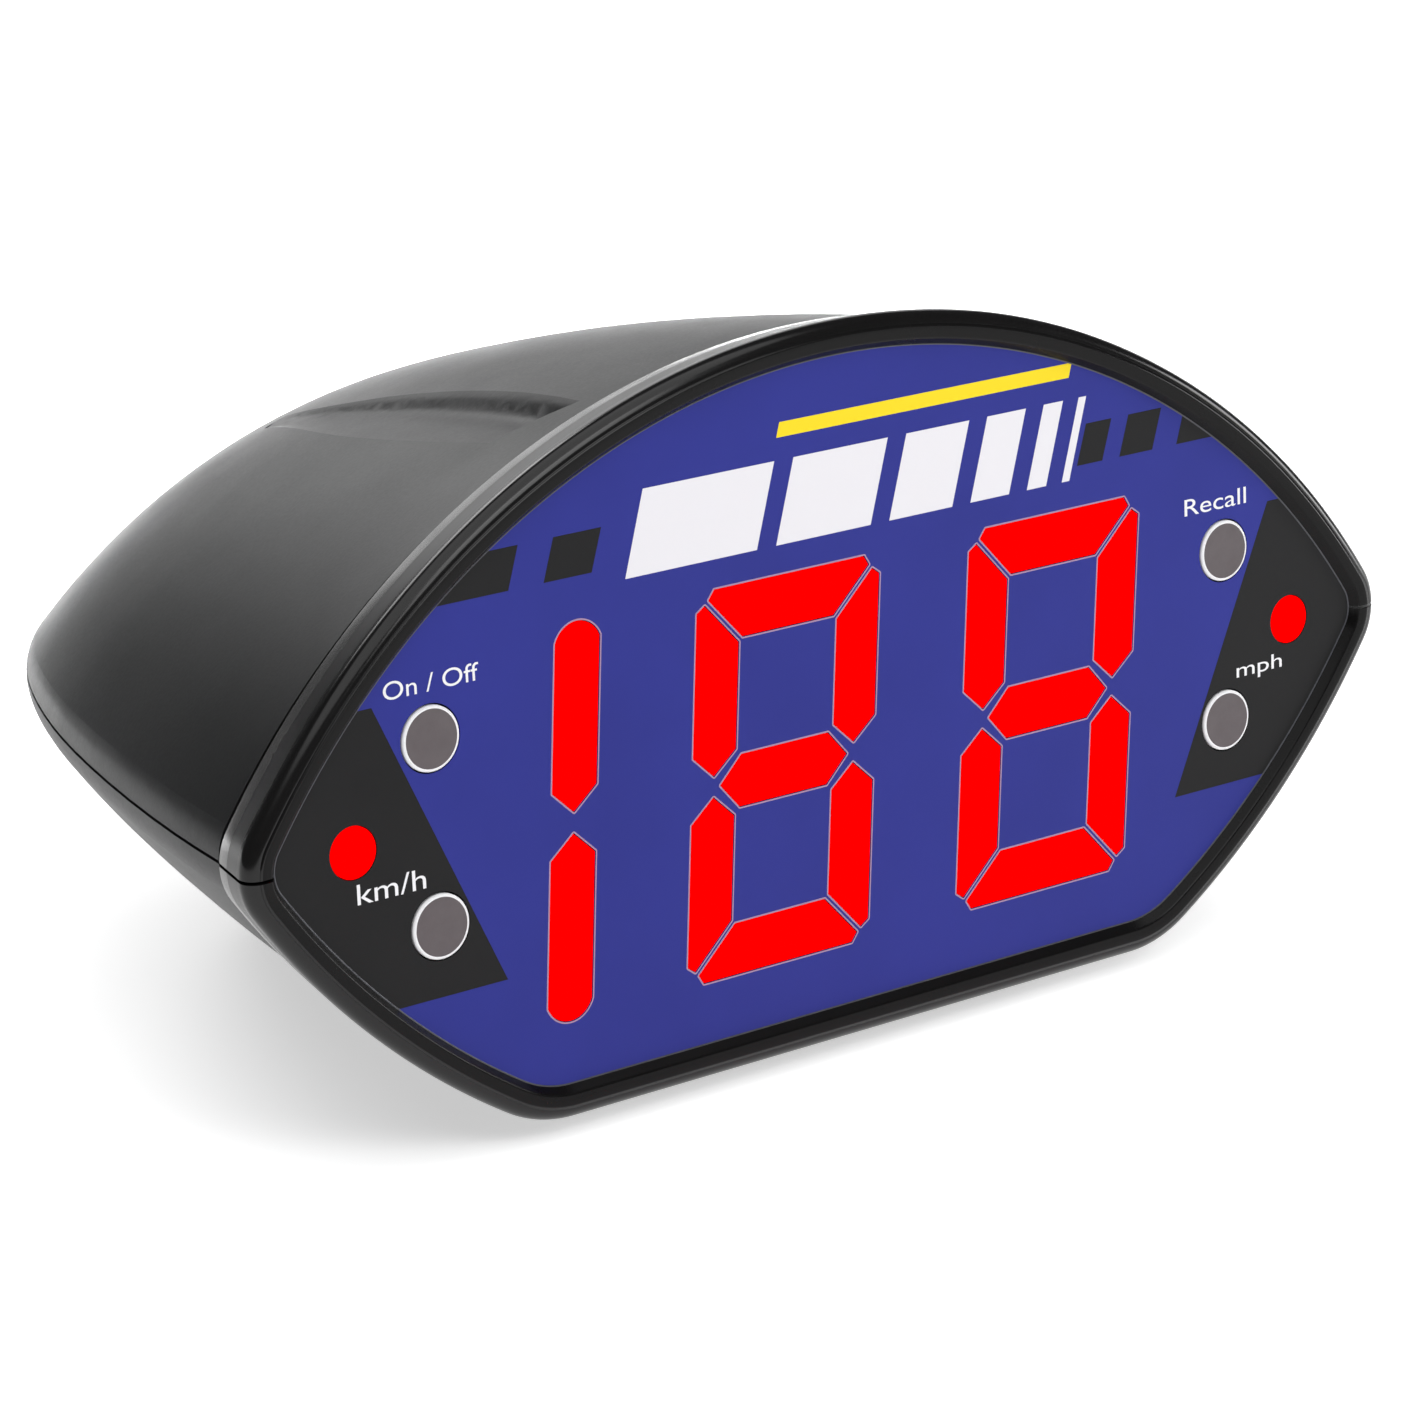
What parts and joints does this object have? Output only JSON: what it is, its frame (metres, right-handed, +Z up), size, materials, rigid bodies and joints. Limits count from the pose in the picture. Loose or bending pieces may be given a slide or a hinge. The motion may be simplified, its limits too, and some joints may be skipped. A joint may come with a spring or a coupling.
{
  "type": "table-top speed radar display",
  "caption": "Free-standing speed radar with a leaning eye-shaped display of lit digits, four round keys, a battery bay with a hinged door and a tripod thread.",
  "frame": {"origin": "middle of the footprint on the table plane that the rubber feet rest on", "axes": "+X to the right of someone facing the display, +Y from the display towards the back, +Z up"},
  "size_m": [0.2112, 0.1325, 0.1104],
  "materials": {
    "housing": "satin moulded ABS",
    "printed_film": "printed polyester film",
    "panel": "moulded",
    "foam_tape": "closed-cell foam",
    "digit_frames": "light grey reflector",
    "red_diffuser": "translucent red",
    "keys": "matt grey",
    "switch_parts": "moulded",
    "circuit_board": "green solder mask",
    "radar_board": "microwave laminate",
    "copper": "etched, gold flash",
    "chips": "epoxy",
    "capacitor_sleeve": "shrink sleeve",
    "ferrite": "dark ferrite and enamelled wire",
    "plated_steel": "nickel plated",
    "screws": "zinc plated",
    "brass": "machined",
    "foot_rubber": "soft",
    "tray": "moulded",
    "jack_body": "moulded",
    "cell_sleeve": "printed sleeve over a steel can",
    "wire_insulation": "soft PVC",
    "ribbon": "flat cable"
  },
  "bodies": {
    "root": {"top_housing": "housing", "bottom_housing": "housing", "graphic_overlay": "printed_film", "front_panel": "panel", "panel_gasket": "foam_tape", "digit_frame_hundreds": "digit_frames", "digit_frame_tens": "digit_frames", "digit_frame_units": "digit_frames", "digit_segments_hundreds": "red_diffuser", "digit_segments_tens": "red_diffuser", "digit_segments_units": "red_diffuser", "indicator_kmh": "red_diffuser", "indicator_mph": "red_diffuser", "switch_bodies": "switch_parts", "lead_connectors": "switch_parts", "ribbon_connectors": "switch_parts", "display_board": "circuit_board", "main_board": "circuit_board", "radar_board": "radar_board", "radar_antenna_patches": "copper", "led_drivers": "chips", "microcontroller": "chips", "voltage_regulator": "chips", "capacitors": "capacitor_sleeve", "power_inductor": "ferrite", "radar_shield": "plated_steel", "contact_bridge": "plated_steel", "contact_terminals": "plated_steel", "contact_springs": "plated_steel", "power_jack_nut": "plated_steel", "power_jack_pin": "plated_steel", "housing_screws": "screws", "board_screws": "screws", "radar_screws": "screws", "tray_screws": "screws", "main_board_screws": "screws", "tripod_insert": "brass", "foot_front_left": "foot_rubber", "foot_front_right": "foot_rubber", "foot_rear_left": "foot_rubber", "foot_rear_right": "foot_rubber", "battery_tray": "tray", "power_jack": "jack_body", "cell_1": "cell_sleeve", "cell_2": "cell_sleeve", "cell_3": "cell_sleeve", "cell_4": "cell_sleeve", "battery_leads": "wire_insulation", "power_leads": "wire_insulation", "radar_leads": "wire_insulation", "ribbon_cable": "ribbon"},
    "key_power": {"key_power": "keys", "plunger_power": "switch_parts"},
    "key_recall": {"key_recall": "keys", "plunger_recall": "switch_parts"},
    "key_kmh": {"key_kmh": "keys", "plunger_kmh": "switch_parts"},
    "key_mph": {"key_mph": "keys", "plunger_mph": "switch_parts"},
    "battery_door": {"battery_door": "housing"}
  },
  "joints": [
    {"name": "press_power", "type": "slide", "parent": "root", "child": "key_power", "axis": [0, 0.9979, -0.0645], "range_m": [0, 0.0006], "stiffness_N_per_m": 2500},
    {"name": "press_recall", "type": "slide", "parent": "root", "child": "key_recall", "axis": [0, 0.9979, -0.0645], "range_m": [0, 0.0006], "stiffness_N_per_m": 2500},
    {"name": "press_kmh", "type": "slide", "parent": "root", "child": "key_kmh", "axis": [0, 0.9979, -0.0645], "range_m": [0, 0.0006], "stiffness_N_per_m": 2500},
    {"name": "press_mph", "type": "slide", "parent": "root", "child": "key_mph", "axis": [0, 0.9979, -0.0645], "range_m": [0, 0.0006], "stiffness_N_per_m": 2500},
    {"name": "battery_door_hinge", "type": "hinge", "parent": "root", "child": "battery_door", "pos_m": [0, 0.02625, 0.0048], "axis": [1, 0, 0], "range_deg": [0, 80]}
  ]
}
